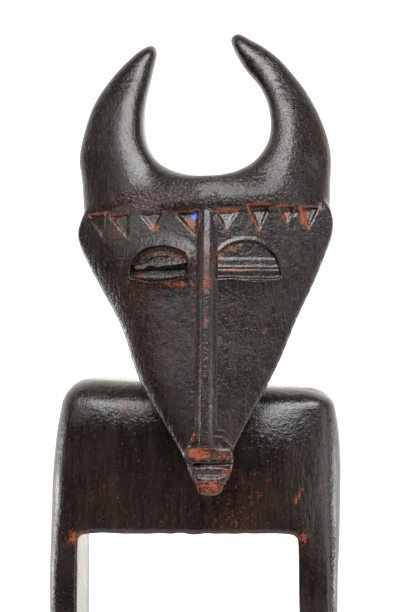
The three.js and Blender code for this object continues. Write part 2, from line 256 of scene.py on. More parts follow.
def headRing(z, inset):
    middle = float(valueAt(head["middle"], z))
    left = float(valueAt(head["left"], z)) + inset
    right = float(valueAt(head["right"], z)) - inset

    def across(share):
        return middle + share * (middle - left if share < 0 else right - middle)

    ring = [Vector((across(s), float(faceY(across(s), z)) + inset, z)) for s in np.linspace(-1, 1, 61)]
    backY = float(valueAt(head["back"], z)) - inset
    fullness = float(valueAt(head["fullness"], z))
    for step in range(1, 40):
        angle = step / 40 * math.pi
        edgeY = ring[0].y if math.cos(angle) < 0 else ring[60].y
        y = edgeY + (backY - edgeY) * math.sin(angle) ** fullness
        ring.append(Vector((across(math.cos(angle)), y, z)))
    return ring


def headRings():
    straightTop = head["brow"] - head["browRound"]
    rings = [headRing(z, 0) for z in np.linspace(head["chin"], straightTop, 70)]
    for step in range(1, 8):
        angle = step / 7 * math.pi / 2
        inset = head["browRound"] * (1 - math.cos(angle))
        rings.append(headRing(straightTop + head["browRound"] * math.sin(angle), inset))
    return rings


# Horns and crest: one crescent swept about the gap, its angles in degrees from straight down

horns = {
    "gapX": 2.3,
    "gapZ": 153.4,
    "ridge": [(-142, 0.2), (-90, 0.34), (-45, 0.26), (0, 0.08), (45, 0.26), (90, 0.34), (163.4, 0.2)],
    "square": [(-142, 0.8), (-120, 0.5), (-60, 0.38), (0, 0.13), (30, 0.16), (60, 0.34), (120, 0.42),
               (163.4, 0.8)],
    "backSquare": 0.75,
    "innerFall": [(-142, 0.0), (-60, 0.0), (-28, 0.14), (0, 0.22), (40, 0.22), (60, 0.1), (80, 0.0),
                  (163.4, 0.0)],  # slopes of the two sides, back from the crest of the section
    "outerFall": [(-142, 0.3), (-62, 0.3), (-35, 0.1), (0, 0.0), (35, 0.02), (62, 0.3), (163.4, 0.3)],
    "crestSoft": 1.2,
    "inner": [(-142, 18.3), (-141.2, 17.4), (-136, 16.1), (-121, 14.1), (-105, 13.4), (-85, 13.5),
              (-60, 14.4), (-45, 14.6), (0, 13.6), (45, 14.4), (68, 14.3), (90, 13.3), (114, 12.6),
              (138, 12.4), (152, 13.7), (159.5, 15.2), (163.4, 16.5)],
    "outer": [(-142, 19.0), (-139.5, 19.5), (-134, 20.0), (-124, 20.7), (-110, 22.1), (-97, 24),
              (-82, 26.5), (-70, 29.1), (-60, 30.7), (-50, 34.0), (-44, 36.5), (-25, 29.6), (0, 27),
              (25, 29.6), (44, 36.5), (50, 33.8), (61, 30), (69, 28.4), (90, 23.7), (111, 20.5),
              (127, 19.3), (150, 18.5), (160, 18.6), (163.4, 17.6)],
    "front": [(-142, 0.4), (-138, -1.6), (-120, -3.6), (-90, -7.0), (-55, -10.4), (-35, -12.4), (-22, -14.3),
              (0, -16.0), (22, -14.9), (40, -13.0), (55, -11.2), (90, -7.2), (120, -4.0), (150, -2.4),
              (160, -1.2), (163.4, 0.4)],
    "back": [(-142, 1.8), (-138, 3.6), (-120, 4.6), (-90, 5.4), (-55, 6.6), (0, 8), (55, 6.6), (90, 5.4),
             (120, 4.6), (150, 4), (160, 3.4), (163.4, 1.8)],
}


def hornRings():
    rings = []
    first, last = horns["inner"][0][0], horns["inner"][-1][0]
    for share in np.linspace(0, 1, 131):
        degrees = first + (last - first) * (share - 0.06 * math.sin(math.tau * share))
        angle = math.radians(degrees)
        inner, outer, front, back, ridge, square, innerFall, outerFall = [
            float(valueAt(horns[name], degrees))
            for name in ("inner", "outer", "front", "back", "ridge", "square", "innerFall", "outerFall")]
        middle, half = (inner + outer) / 2, (outer - inner) / 2
        ring = []
        for turn in np.linspace(0, math.tau, 80, endpoint=False):
            across, deep = math.cos(turn), math.sin(turn)
            lean = across * (1 + ridge if across > 0 else 1 - ridge) - ridge
            slope = outerFall if lean > -ridge else innerFall
            fall = slope * (math.hypot((lean + ridge) * half, horns["crestSoft"]) - horns["crestSoft"])
            power = square if deep < 0 else horns["backSquare"]
            deep = math.copysign(abs(deep) ** power, deep)
            y = (front + back) / 2 + deep * ((back - front) / 2 - (fall if deep < 0 else 0))
            ring.append(Vector((horns["gapX"] + (middle + half * lean) * math.sin(angle), y,
                                horns["gapZ"] - (middle + half * lean) * math.cos(angle))))
        rings.append(ring)
    return rings


# Nose and mouth blocks, left standing on the face

noseRidge = {
    "x": 3.05,
    "top": 134.0,
    "bottom": 83.6,
    "frontHalf": 1.1,
    "footHalf": 2.2,
    "proud": [(83.6, 2.5), (88, 2.5), (110, 2.1), (122, 1.6), (128, 0.9), (134.0, 0.1)],
    "flareFrom": 88.0,
    "flare": 0.45,
    "edgeRound": 0.5,
    "rooted": 3,
}

mouthBlock = {
    "outline": [(1.9, 74.0), (5.9, 73.9), (8.5, 79.2), (8.8, 81), (8.4, 83.7), (0.2, 83.7), (-1.4, 81.6),
                (0.3, 79.8), (0.4, 78.6)],
    "proud": 1.6,
    "backY": -21.6,
}


def noseRings():
    x, rooted = noseRidge["x"], noseRidge["rooted"]
    rings = []
    for z in np.linspace(noseRidge["bottom"], noseRidge["top"], 40):
        bare = float(faceY(x, z))
        front = bare - float(valueAt(noseRidge["proud"], z))
        wider = 1 + noseRidge["flare"] * float(ease(noseRidge["flareFrom"], noseRidge["bottom"], z))
        foot, half = noseRidge["footHalf"] * wider, noseRidge["frontHalf"] * wider
        soft = noseRidge["edgeRound"]
        side = [(-foot, bare + rooted), (-foot, bare), (-half, front + soft), (-half * 0.6, front)]
        other = [(-across, y) for across, y in reversed(side)]
        rings.append([Vector((x + across, y, z)) for across, y in side + other])
    return rings


def mouthRings():
    fronts = [float(faceY(noseRidge["x"], z)) - mouthBlock["proud"] for x, z in mouthBlock["outline"]]
    return [[Vector((x, y, z)) for (x, z), y in zip(mouthBlock["outline"], fronts)],
            [Vector((x, mouthBlock["backY"], z)) for x, z in mouthBlock["outline"]]]


# Blank: all the forms joined into one block, its edges scraped soft

blankWork = {
    "voxel": 0.62,
    "smoothing": 3,
    "legsFrom": 58,  # below this the legs are drawn straight down
    "legSteps": 22,
    "footEdge": 0.5,
    "crown": {"left": (3.0, 11), "right": (4.2, 17)},  # fall of the front to the shoulders, over what width
    "waves": [(11.0, 1.6, 0.17), (3.6, 1.8, 0.06)],  # length, how much longer up and down, height
    "barEdge": 0.3,  # how uneven the lower edge of the crossbar is
    "finer": [(-26, 30, 125.5, 135), (-15, 20, 115.5, 127), (-3.5, 11, 73, 90), (0.2, 5.9, 90, 116)],
    "finest": [(-13.5, -0.5, 117, 125.5), (4.5, 18.5, 117, 126.5), (-2, 9, 73.5, 87.5)],
}


def carvingBlank():
    frameBlank = stirrupBlank()
    cutter = windowCutter()
    saw = frameBlank.modifiers.new("window", "BOOLEAN")
    saw.operation = "DIFFERENCE"
    saw.solver = "EXACT"
    saw.object = cutter
    applyModifiers(frameBlank)
    bpy.data.objects.remove(cutter)
    shape = bmesh.new()
    shape.from_mesh(frameBlank.data)
    bpy.data.objects.remove(frameBlank)
    for rings in (neckRings(), headRings(), hornRings(), noseRings(), mouthRings()):
        loftRings(shape, rings)
    blank = newObject("carved_pulley_wood", shape)
    remesh = blank.modifiers.new("one block", "REMESH")
    remesh.mode = "VOXEL"
    remesh.voxel_size = blankWork["voxel"]
    smooth = blank.modifiers.new("scrape", "SMOOTH")
    smooth.factor = 0.5
    smooth.iterations = blankWork["smoothing"]
    applyModifiers(blank)
    print("blank", len(blank.data.polygons), "faces")
    return blank


def vertArrays(mesh):  # places and normals of all the vertices
    places = np.empty(len(mesh.vertices) * 3)
    normals = np.empty(len(mesh.vertices) * 3)
    mesh.vertices.foreach_get("co", places)
    mesh.vertex_normals.foreach_get("vector", normals)
    return places.reshape(-1, 3), normals.reshape(-1, 3)


def windowRight(height):
    low = stirrup["below"] - 4
    share = (height - low) / (window["top"] - low)
    return window["right"] + window["lean"] * (1 - 2 * share)


def drawLegs(shape):  # plain legs, ring by ring, down to flat feet
    everything = shape.verts[:] + shape.edges[:] + shape.faces[:]
    height = blankWork["legsFrom"]
    sawn = bmesh.ops.bisect_plane(shape, geom=everything, plane_co=(0, 0, height), plane_no=(0, 0, -1),
                                  clear_outer=True)
    rim = [item for item in sawn["geom_cut"] if isinstance(item, bmesh.types.BMEdge)]
    for lower in np.linspace(height, 0, blankWork["legSteps"] + 1)[1:]:
        grown = bmesh.ops.extrude_edge_only(shape, edges=rim)["geom"]
        verts = {item for item in grown if isinstance(item, bmesh.types.BMVert)}
        rim = [item for item in grown if isinstance(item, bmesh.types.BMEdge)
               and item.verts[0] in verts and item.verts[1] in verts]
        sides = {True: [(float(valueAt(stirrup["left"], h)), window["left"]) for h in (height, lower)],
                 False: [(float(valueAt(stirrup["right"], h)), windowRight(h)) for h in (height, lower)]}
        for vert in verts:
            (outer, inner), (newOuter, newInner) = sides[vert.co.x < 0]
            share = (vert.co.x - outer) / (inner - outer)
            vert.co.x = newOuter + share * (newInner - newOuter)
            vert.co.z = lower
        height = lower
    bmesh.ops.holes_fill(shape, edges=rim, sides=0)
    bmesh.ops.bevel(shape, geom=rim, offset=blankWork["footEdge"], segments=3, profile=0.5,
                    affect="EDGES", material=-1)


def isIn(centre, areas):
    return any(left < centre.x < right and low < centre.z < high for left, right, low, high in areas)


def refineFace(shape):  # a closer mesh where the face is carved
    for areas in (blankWork["finer"], blankWork["finest"]):
        chosen = set()
        for polygon in shape.faces:
            centre = polygon.calc_center_median()
            if polygon.normal.y < -0.3 and isIn(centre, areas) and centre.y < faceY(centre.x, centre.z) + 2.6:
                chosen.update(polygon.edges)
        bmesh.ops.subdivide_edges(shape, edges=list(chosen), cuts=1, use_grid_fill=True)
        touched = {vert for edge in chosen if edge.is_valid for vert in edge.verts}
        bmesh.ops.smooth_vert(shape, verts=list(touched), factor=0.5, use_axis_x=True,
                              use_axis_y=True, use_axis_z=True)


def reshape(carving, *steps):
    shape = bmesh.new()
    shape.from_mesh(carving.data)
    for step in steps:
        step(shape)
    shape.to_mesh(carving.data)
    shape.free()
    print("reshaped", sum(len(polygon.vertices) - 2 for polygon in carving.data.polygons), "triangles")


def workByHand(carving):  # crowned shoulders, and the shallow waves that a knife and handling leave
    places, normals = vertArrays(carving.data)
    x, y, z = places.T.copy()
    top = stirrup["top"] - stirrup["fall"] * x
    right = ease(-8, 14, x)
    low, wide = [a + (b - a) * right for a, b in zip(blankWork["crown"]["left"], blankWork["crown"]["right"])]
    edge = np.where(x < 0, x - valueAt(stirrup["left"], z), valueAt(stirrup["right"], z) - x)
    sideways, upwards = np.clip(1 - edge / wide, 0, 1) ** 2, np.clip(1 - (top - z) / wide, 0, 1) ** 2
    crown = low * (sideways + upwards - sideways * upwards) * np.where(y > 0, 0.5, 1)
    onStirrup = ease(4, 10, np.abs(y)) * ease(52, 72, z) * (z < 97) * (np.abs(y) < 14.8)
    y -= np.sign(y) * crown * onStirrup
    lift = sum(height * waves(places, length, stretch, shift=length)
               for length, stretch, height in blankWork["waves"])
    moved = np.stack([x, y, z], 1) + normals * lift[:, None]
    barEdge = ease(2.2, 0.4, np.abs(z - window["top"])) * ease(-11, -13.5, y)
    moved[:, 2] += blankWork["barEdge"] * barEdge * waves(places, 2.6, shift=5)
    feet = z < blankWork["footEdge"] * 1.2
    moved[feet] = places[feet]
    carving.data.vertices.foreach_set("co", moved.ravel())
    carving.data.update()


# Eyes: a socket cut in under each brow, with a heavy lid left in it

eyes = [
    {
        "socket": [(-13.2, 118.6), (-12.8, 121.6), (-11.0, 123.8), (-8.6, 124.7), (-5.9, 124.9),
                   (-3.5, 124.3), (-1.5, 123.3), (-1.0, 121.0), (-1.3, 118.7), (-3.5, 118.1),
                   (-5.8, 117.7), (-9.0, 117.5), (-11.5, 118.0)],
        "lid": [(-12.4, 121.0), (-10.1, 121.6), (-9.0, 122.5), (-6.9, 123.0), (-4.5, 122.9),
                (-1.6, 122.7), (-1.2, 121.2), (-3.5, 120.6), (-5.8, 120.4), (-7.4, 120.1),
                (-9.0, 120.4), (-10.2, 119.8), (-12.3, 119.8)],
        "floor": [(117.2, 0.3), (118.1, 1.5), (119.6, 1.7), (120.4, 1.5), (121.6, 1.15), (124.9, 1.0)],
        "wall": 0.8,
        "lidDepth": 0.05, "lidFall": 0.62,
        "roll": 0.22, "rollWidth": (1.8, 2.5), "lowerRoll": 0.4, "lowerWidth": 2.4,
    },
    {
        "socket": [(4.9, 118.2), (4.8, 120.8), (4.9, 123.0), (6.1, 124.2), (7.7, 125.3), (10.2, 126.0),
                   (12.9, 125.9), (14.3, 125.3), (15.6, 124.5), (16.8, 123.2), (17.7, 121.5),
                   (18.1, 119.8), (18.0, 118.3), (14.4, 117.6), (11.5, 117.7), (8.2, 118.2)],
        "lid": [(5.4, 120.9), (7.5, 121.3), (10.8, 121.4), (14.0, 121.3), (16.8, 120.9), (16.6, 120.3),
                (10.8, 120.4), (5.6, 120.3)],
        "floor": [(117.2, 0.0), (117.7, -0.12), (118.05, 0.0), (118.3, 0.42), (119.8, 0.42), (120.1, 0.5),
                  (120.4, 0.3), (120.75, 0.42), (122.1, 0.46), (122.4, 0.56), (126, 0.6)],
        "wall": 0.3,
        "lidDepth": 0.9, "lidFall": 0,
        "roll": 0.3, "rollWidth": (0.8, 0.8), "lowerRoll": 0.14, "lowerWidth": 1.6,
    },
]


def eyeRelief(eye, x, z):
    socket = depthInside(roundedLoop(eye["socket"]), x, z)
    lid = depthInside(roundedLoop(eye["lid"]), x, z)
    lidTop = max(point[1] for point in eye["lid"])
    lidBottom = min(point[1] for point in eye["lid"]) + 0.4
    wall = eye["wall"] + (0.35 - eye["wall"]) * ease(lidBottom + 1.5, lidBottom - 0.5, z)
    floor = valueAt(eye["floor"], z) * np.clip(socket / wall, 0, 1) ** 0.8
    lidShape = eye["lidDepth"] + eye["lidFall"] * ease(lidTop - 2.1, lidTop + 0.3, z)
    floor = floor + (np.minimum(lidShape, floor) - floor) * ease(0, 0.3, lid)
    outside = np.maximum(-socket, 0)
    upper = ease(lidBottom - 1.0, lidBottom + 1.5, z)
    left, right = min(point[0] for point in eye["socket"]), max(point[0] for point in eye["socket"])
    narrow, wide = eye["rollWidth"]
    rollWidth = narrow + (wide - narrow) * ease(left, left + (right - left) * 0.7, x)
    rollShape = np.clip(rollWidth - outside, 0, None) * ease(-0.3, 0.15, -socket)
    lowerShape = np.exp(-outside / eye["lowerWidth"] * 1.8) * ease(-0.1, 0.15, outside)
    return eye["roll"] * rollShape * upper + eye["lowerRoll"] * lowerShape * (1 - upper) - floor, socket


# Brow: a row of chip-cut triangles, each a left, right and lower corner

chips = {
    "topSlope": 2.6,
    "rim": 0.2,  # step down at the two lower edges
    "fall": 0.15,  # then the floor falls this much for each millimetre towards the top edge
    "cuts": [
        [(-22.7, 131.6), (-18.6, 132.1), (-18.8, 126.1)],
        [(-17.9, 131.3), (-13.4, 132.1), (-13.7, 126.2)],
        [(-11.4, 131.8), (-6.2, 132.2), (-8.2, 127.9)],
        [(-3.8, 131.8), (1.4, 132.3), (0.8, 126.7)],
        [(4.6, 132.1), (9.4, 132.4), (7.0, 128.1)],
        [(11.1, 133.5), (15.9, 133.6), (13.7, 127.9)],
        [(17.5, 133.2), (20.9, 133.5), (19.5, 129.4)],
        [(22.2, 133.0), (26.2, 133.2), (24.0, 128.4)],
    ],
    "deeper": [0.75, 0.8, 0.9, 1.25, 0.6, 1.0, 0.8, 1.1],
    "oval": (20.7, 132.2, 0.75),
    "worn": [(0.9, 0.35, 0.2), (0.8, 0.5, 0.25), (0.5, 0.25, 0.25), (0.8, 0.35, 0.6), (0.9, 0.3, 0.5),
             (0.85, 0.8, 0.1), (0.9, 0.7, 0.1), (0.6, 1.0, 0.25)],  # along the top, left and right edges
}


def chipRelief(x, z):
    cutDepth = np.zeros(x.shape)
    worn = np.zeros(x.shape)
    for (left, right, point), deeper, strengths in zip(chips["cuts"], chips["deeper"], chips["worn"]):
        inside = depthInside([left, right, point], x, z)
        across = (x - left[0]) / (right[0] - left[0])
        fromTop = left[1] + (right[1] - left[1]) * across - z
        step = chips["rim"] * ease(0, 0.25, inside) + chips["fall"] * np.maximum(z - point[1], 0)
        pit = np.minimum(fromTop * chips["topSlope"], step * ease(0, 0.35, inside)) * deeper
        cutDepth = np.maximum(cutDepth, np.where(inside > 0, pit, 0))
        for (start, end), strength in zip(((left, right), (left, point), (right, point)), strengths):
            worn = np.maximum(worn, strength * np.exp(-(awayFrom(start, end, x, z) / 0.26) ** 2))
    ovalX, ovalZ, ovalSize = chips["oval"]
    ring = np.hypot(x - ovalX, (z - ovalZ) / 1.3) / ovalSize
    cutDepth = cutDepth + 0.3 * np.exp(-((ring - 0.75) / 0.22) ** 2)
    return -cutDepth, worn


# Mouth and nostrils

mouthCuts = {
    "gap": {"z": 79.98, "slope": 0.045, "half": 0.1, "depth": 1.1, "from": 0.2, "to": 8.5},
    "pit": (1.5, 79.95, 0.45, 0.3, 0.9),
    "lips": [(-1, 0.28), (-0.92, 0.3), (-0.3, 0.7), (-0.12, 0.6), (0.3, 0.3), (0.8, 0.32), (1, 0.6)],
    "lipMiddle": (4.1, 78.5),
    "lipHalf": (4.4, 1.38),
    "chin": 0.28,
    "upperLip": [(80.3, 0.35), (80.6, 0.05), (82, 0), (83.3, 0.02), (83.7, 0.3), (84.3, 0.35)],
    "wings": [
        [(-0.6, 83.7), (0.0, 85.3), (1.2, 86.2), (3, 86.0), (3, 83.7)],
        [(3, 83.7), (3, 86.6), (5.2, 87.0), (6.7, 86.8), (7.8, 85.9), (8.3, 84.6), (8.4, 83.7)],
    ],
    "wingProud": 1.7,
    "nostril": (0.95, 84.7, 0.7, 1.1, 1.6),
}


def mouthRelief(x, z):
    block = depthInside(mouthBlock["outline"], x, z)
    lipX, lipZ = mouthCuts["lipMiddle"]
    halfX, halfZ = mouthCuts["lipHalf"]
    height = halfZ * np.sqrt(np.clip(1 - ((x - lipX) / halfX) ** 2, 0.02, 1))
    across = (z - lipZ) / height
    lens = np.where(np.abs(across) < 1, valueAt(mouthCuts["lips"], across), mouthCuts["chin"])
    gap = mouthCuts["gap"]
    line = gap["z"] + gap["slope"] * x
    lower = ease(line + 0.1, line - 0.1, z)
    cutDepth = lens * lower + valueAt(mouthCuts["upperLip"], z) * (1 - lower)
    dark = ease(gap["half"] + 0.12, gap["half"] - 0.05, np.abs(z - line))
    dark = dark * ease(gap["from"], gap["from"] + 0.5, x) * ease(gap["to"], gap["to"] - 0.5, x)
    cutDepth = cutDepth + (gap["depth"] - cutDepth) * dark
    pitX, pitZ, pitWide, pitHigh, pitDeep = mouthCuts["pit"]
    cutDepth = cutDepth + pitDeep * np.exp(-((x - pitX) / pitWide) ** 2 - ((z - pitZ) / pitHigh) ** 2)
    return -cutDepth * ease(-0.15, 0.15, block)


def nostrilRelief(x, z):
    wings = np.zeros(x.shape)
    for wing in mouthCuts["wings"]:
        wings = np.maximum(wings, mouthCuts["wingProud"] * ease(-0.1, 1.1, depthInside(wing, x, z)))
    nostrilX, nostrilZ, halfX, halfZ, deep = mouthCuts["nostril"]
    hollow = np.exp(-(((x - nostrilX) / halfX) ** 2 + ((z - nostrilZ) / halfZ) ** 2) ** 1.5)
    return (np.maximum(wings - ridgeProud(x, z), 0) - deep * hollow) * (z > 83.65)


def ridgeProud(x, z):  # how far the nose stands off the face
    wider = 1 + noseRidge["flare"] * ease(noseRidge["flareFrom"], noseRidge["bottom"], z)
    foot, half = noseRidge["footHalf"] * wider, noseRidge["frontHalf"] * wider
    out = np.abs(x - noseRidge["x"])
    rise = np.clip((foot - out) / (foot - half), 0, 1)
    crest = noseRidge["edgeRound"] * np.clip((out - half * 0.5) / (half * 0.5), 0, 1) ** 2
    return (valueAt(noseRidge["proud"], z) - crest) * (rise * rise * (3 - 2 * rise) * 0.35 + rise * 0.65)


def scrapeFace(carving):
    places, normals = vertArrays(carving.data)
    x, y, z = places.T
    edge = np.minimum(x - valueAt(head["left"], z), valueAt(head["right"], z) - x)
    middle = faceY(np.full(z.shape, noseRidge["x"]), z)
    plane = np.where(np.abs(x - noseRidge["x"]) < 3.5, np.minimum(faceY(x, z), middle + 3), faceY(x, z))
    true = plane - np.where(z < noseRidge["bottom"], 0, ridgeProud(x, z))
    share = ease(0, 0.5, edge) * ease(-0.1, -0.35, normals[:, 1]) * ease(84.0, 84.6, z) * ease(133.4, 132, z)
    share = share * (y < faceY(x, z) + 2)
    y += (true - y) * share
    carving.data.vertices.foreach_set("co", np.stack([x, y, z], 1).ravel())
    carving.data.update()


def carveFace(carving):
    places, normals = vertArrays(carving.data)
    x, y, z = places.T
    bare = faceY(x, z)
    onFace = (normals[:, 1] < -0.2) & (y < bare + 2.8) & (z > 73) & (z < 136)
    fx, fz, fy = x[onFace], z[onFace], y[onFace]
    relief = chipRelief(fx, fz)[0]
    for eye in eyes:
        eyeShape, socket = eyeRelief(eye, fx, fz)
        relief = relief + np.where(socket > -3.5, eyeShape, 0)
    onRidge = ease(0.15, 0.8, ridgeProud(fx, fz))  # nothing is cut into the ridge of the nose
    relief = relief * np.where(fz > 90, 1 - onRidge, 1)
    relief = relief + mouthRelief(fx, fz)
    relief = relief + nostrilRelief(fx, fz)
    y[onFace] -= relief
    carving.data.vertices.foreach_set("co", np.stack([x, y, z], 1).ravel())
    carving.data.update()
    print("face carved,", int(onFace.sum()), "points")


# Wear and sheen: soft spots where the patina is rubbed through, and two that are a painted reflection of
# light on the stirrup beside and below the chin, as across, up, half width, half height, strength

wearAndSheen = {
    "spots": [
        (1.8, 82.3, 2.8, 1.3, 0.75), (6.0, 82.0, 2.8, 1.3, 0.42), (3.9, 75.7, 2.7, 1.5, 0.62),
        (7.4, 78.6, 1.0, 0.6, 0.75), (0.5, 85.6, 0.4, 0.9, 0.8), (-3.6, 117.0, 3.4, 0.8, 0.5),
        (-10.9, 118.9, 1.3, 0.7, 0.6), (-3.2, 122.8, 2.2, 0.3, 0.6), (-6.5, 123.6, 4.5, 1.0, 0.4),
        (5.4, 123.0, 0.8, 1.8, 0.5), (8.5, 124.6, 2.5, 0.9, 0.4), (9.2, 119.8, 3.0, 0.4, 0.6),
        (-8.0, 128.9, 0.9, 0.8, 0.8), (-0.4, 129.6, 1.1, 1.8, 0.6), (7.0, 132.3, 2.2, 0.6, 0.7),
        (13.4, 133.6, 3.0, 0.25, 0.7), (19.2, 133.4, 2.4, 0.25, 0.75), (23.0, 131.2, 0.9, 1.9, 0.8),
        (19.3, 131.2, 0.6, 1.4, 0.6), (3.0, 109.5, 0.6, 1.4, 0.6), (3.2, 117.5, 1.0, 2.6, 0.5),
        (3.1, 122.0, 1.2, 6.0, 0.32), (2.4, 98.0, 0.7, 9.0, 0.22), (15.0, 107.3, 0.5, 0.5, 0.6),
        # the spots at (6.0, 75.0) and (9.0, 67.5) are not wear: they are a painted reflection, a warm glow of
        # light on the stirrup beside and below the chin
        (-14.6, 91.6, 1.0, 1.3, 0.55), (-11.5, 91.0, 2.6, 2.0, 0.25), (6.0, 75.0, 9.0, 10.0, 0.16),
        (9.0, 67.5, 6.0, 3.0, 0.22), (-18.0, 72.0, 8.0, 7.0, 0.06), (-25.3, 63.9, 1.2, 1.6, 0.55),
        (22.8, 64.0, 0.9, 1.8, 0.55), (-1.0, 65.0, 24.0, 0.35, 0.42), (-12.5, 116.0, 6.0, 9.0, 0.15),
        (-8.0, 103.0, 6.0, 6.0, 0.12), (0.2, 112.0, 0.8, 14.0, 0.25), (14.0, 110.0, 10.0, 12.0, 0.04),
        (26.6, 75.0, 0.8, 3.0, 0.25), (-16.5, 128.5, 1.5, 2.5, 0.3), (-10.0, 134.5, 9.0, 1.6, 0.28),
    ],
    "scratches": [((21.2, 71.4), (22.6, 74.0), 0.35, 0.75), ((-25.0, 64.6), (-22.0, 65.2), 0.4, 0.5)],
    "mouthEdge": 0.5,
    "pigment": (0.3, 131.1, 0.75, 0.85),
}

grain = [  # where the surface is pebbled, as across, up, half width, half height, strength
    (4.0, 136.5, 16.0, 3.6, 1.0), (-9.0, 134.6, 9.5, 2.4, 1.2), (3.0, 130.5, 2.6, 3.5, 0.8),
    (-4.5, 124.8, 8.5, 3.2, 0.5), (-12.0, 116.0, 8.0, 8.0, 0.4), (18.0, 142.0, 6.0, 9.0, 0.5),
    (-14.0, 89.5, 6.5, 3.6, 0.6), (18.5, 87.0, 7.0, 5.5, 0.35), (3.0, 77.0, 5.0, 6.0, 0.5),
]


def wearAndSheenOf(x, z):
    amount = np.zeros(x.shape)
    for spotX, spotZ, halfX, halfZ, strength in wearAndSheen["spots"]:
        away = ((x - spotX) / halfX) ** 2 + ((z - spotZ) / halfZ) ** 2
        amount = np.maximum(amount, strength * np.exp(-away ** 1.5 * 0.7))
    for start, end, halfWidth, strength in wearAndSheen["scratches"]:
        amount = np.maximum(amount, strength * np.exp(-(awayFrom(start, end, x, z) / halfWidth) ** 2))
    return amount


def recordWearAndSheen(carving):  # kept on the mesh for the finish to read
    places, normals = vertArrays(carving.data)
    x, y, z = places.T
    facing = ease(0.15, -0.3, normals[:, 1])
    onFace = facing * (y < faceY(x, z) + 4) * ease(73, 74, z)
    chipLines = chipRelief(x, z)[1] * onFace
    behind = (z > 73.9) & (z < 100) & (y > faceY(x, z) + 3)  # the stirrup behind the chin
    # these spots include the painted reflection beside and below the chin
    spots = wearAndSheenOf(x, z) * facing * np.where(behind & (z > 78) & (np.abs(x - 4) < 10), 0.3, 1)
    blockEdge = depthInside(mouthBlock["outline"], x, z)
    rim = wearAndSheen["mouthEdge"] * np.exp(-((blockEdge - 0.1) / 0.3) ** 2) * (z < 78) * onFace
    blueX, blueZ, halfX, halfZ = wearAndSheen["pigment"]
    blue = np.exp(-(((x - blueX) / halfX) ** 2 + ((z - blueZ) / halfZ) ** 2) ** 2) * onFace
    pebbled = sum(strength * np.exp(-(((x - spotX) / halfX) ** 2 + ((z - spotZ) / halfZ) ** 2) ** 1.3)
                  for spotX, spotZ, halfX, halfZ, strength in grain) * facing
    layers = {"wearAndSheen": np.maximum(np.maximum(spots, chipLines), rim), "pigment": blue, "grain": pebbled}
    for name, values in layers.items():
        layer = carving.data.attributes.new(name, "FLOAT", "POINT")
        layer.data.foreach_set("value", np.clip(values, 0, 1.5).astype(np.float32))


carving = carvingBlank()
reshape(carving, drawLegs, refineFace)
scrapeFace(carving)
carveFace(carving)
recordWearAndSheen(carving)
workByHand(carving)
places = vertArrays(carving.data)[0]
places[:, 1] += stirrup["centreY"]
carving.data.vertices.foreach_set("co", (places * mm).ravel())
carving.data.polygons.foreach_set("use_smooth", [True] * len(carving.data.polygons))
carving.data.update()
print("carving done")


# Finish: brown-black patina with a handled gloss, reddish wood where it is rubbed, and a red-brown painted
# reflection beside and below the chin

patina = {
    "black": (0.0045, 0.0036, 0.0036, 1),
    "brown": (0.0175, 0.0105, 0.0078, 1),
    # red-brown is also the colour of the painted reflection beside and below the chin
    "redBrown": (0.055, 0.013, 0.0065, 1),
    "rawWood": (0.27, 0.048, 0.007, 1),
    "blue": (0.004, 0.09, 0.55, 1),
    "gloss": 0.27,
    "blotches": 85,
    "fibre": (2200, 2200, 260),
    "streaks": (700, 700, 45),
    "pores": 2500,
    "pebbles": 1500,
    "peel": 700,
}


